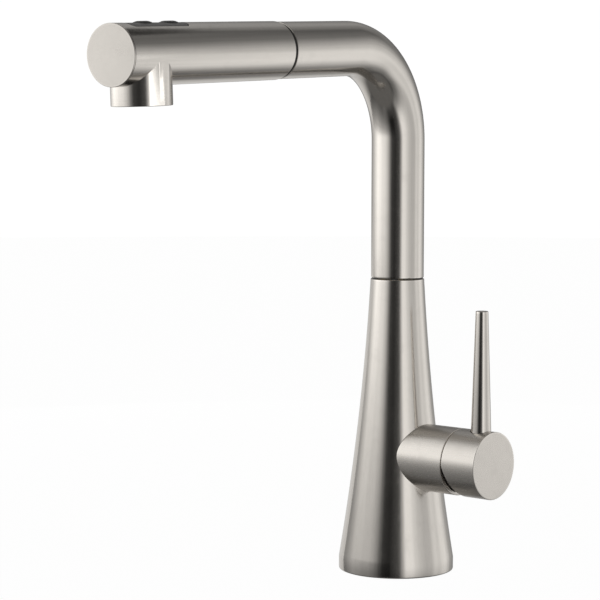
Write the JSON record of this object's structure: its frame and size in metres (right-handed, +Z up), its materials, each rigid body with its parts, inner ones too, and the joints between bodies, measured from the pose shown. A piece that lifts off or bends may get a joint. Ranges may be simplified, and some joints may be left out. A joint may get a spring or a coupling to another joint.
{
  "type": "pull down kitchen faucet",
  "caption": "Single-lever kitchen faucet with a flared body, an L-shaped swivel spout and a pull-out spray head with two buttons.",
  "frame": {"origin": "centre of the foot on the deck, on the body's axis", "axes": "+Z up along the body, spout towards -Y turned 5.4 degrees towards the lever, valve and lever along +X"},
  "size_m": [0.1161, 0.3157, 0.3522],
  "materials": {
    "satin_nickel": "satin brushed nickel plate",
    "brass": "machined brass",
    "stainless_steel": "turned stainless steel",
    "black_rubber": "matt black rubber",
    "dark_plastic": "fine matt dark grey plastic",
    "pale_plastic": "natural acetal",
    "ceramic": "lapped alumina ceramic",
    "hose_braid": "braided dark nylon"
  },
  "bodies": {
    "base": {"body_shell": "satin_nickel", "base_plate": "brass", "deck_gasket": "black_rubber", "base_screw_left": "stainless_steel", "base_screw_right": "stainless_steel", "valve_block": "brass", "valve_sleeve": "satin_nickel", "cartridge_base": "dark_plastic", "fixed_disc": "ceramic", "cartridge_housing": "pale_plastic", "cartridge_nut": "brass", "swivel_bush": "dark_plastic", "spout_stop_screw": "stainless_steel", "thrust_washer": "dark_plastic", "hose_riser": "hose_braid", "hose_coupling": "stainless_steel"},
    "spout": {"spout_tube": "satin_nickel", "swivel_shank": "brass", "lower_slip_ring": "pale_plastic", "upper_slip_ring": "pale_plastic", "dock_collar": "dark_plastic", "seam_gasket": "black_rubber", "hose_bend": "hose_braid"},
    "head": {"head_shell": "satin_nickel", "end_cap": "satin_nickel", "end_cap_seal": "black_rubber", "dock_spigot": "dark_plastic", "hose_nut": "brass", "check_valve": "pale_plastic", "hose_ferrule": "stainless_steel", "hose_front": "hose_braid", "waterway": "pale_plastic", "button_plate": "dark_plastic", "aerator_ring": "dark_plastic", "aerator_mesh": "pale_plastic", "spray_face": "black_rubber", "stream_spring": "stainless_steel", "spray_spring": "stainless_steel"},
    "stream_push": {"stream_button": "dark_plastic"},
    "spray_push": {"spray_button": "dark_plastic"},
    "rotor": {"stem_rotor": "pale_plastic", "stem_pin": "stainless_steel"},
    "disc": {"moving_disc": "ceramic", "disc_carrier": "dark_plastic"},
    "handle": {"stem": "stainless_steel", "handle_cap": "satin_nickel", "lever": "satin_nickel", "cap_grub_screw": "stainless_steel", "cap_plug": "dark_plastic"}
  },
  "joints": [
    {"name": "spout_swivel", "type": "hinge", "parent": "base", "child": "spout", "pos_m": [0, 0, 0.1896], "axis": [0, 0, 1], "range_deg": [-95.4, 84.6]},
    {"name": "head_pull", "type": "slide", "parent": "spout", "child": "head", "axis": [0.094, -0.9947, -0.0424], "range_m": [0, 0.45], "stiffness_N_per_m": 8, "springref_m": -0.3, "deforming": ["hose_front"]},
    {"name": "stream_button_press", "type": "slide", "parent": "head", "child": "stream_push", "axis": [-0.004, 0.0422, -0.9991], "range_m": [0, 0.0015], "stiffness_N_per_m": 600, "springref_m": -0.001, "deforming": ["stream_spring"]},
    {"name": "spray_button_press", "type": "slide", "parent": "head", "child": "spray_push", "axis": [-0.004, 0.0422, -0.9991], "range_m": [0, 0.0015], "stiffness_N_per_m": 600, "springref_m": -0.001, "deforming": ["spray_spring"]},
    {"name": "handle_temperature", "type": "hinge", "parent": "base", "child": "rotor", "pos_m": [0.046, 0, 0.0752], "axis": [1, 0, 0], "range_deg": [-45, 45]},
    {"name": "handle_flow", "type": "hinge", "parent": "rotor", "child": "handle", "pos_m": [0.046, 0, 0.0752], "axis": [0, 1, 0], "range_deg": [0, 17.5]},
    {"name": "disc_slide", "type": "slide", "parent": "rotor", "child": "disc", "axis": [0, 0, 1], "range_m": [0, 0.00491]}
  ],
  "couplings": [
    {"joint": "disc_slide", "follows": "handle_flow", "m_per_rad": 0.016}
  ]
}
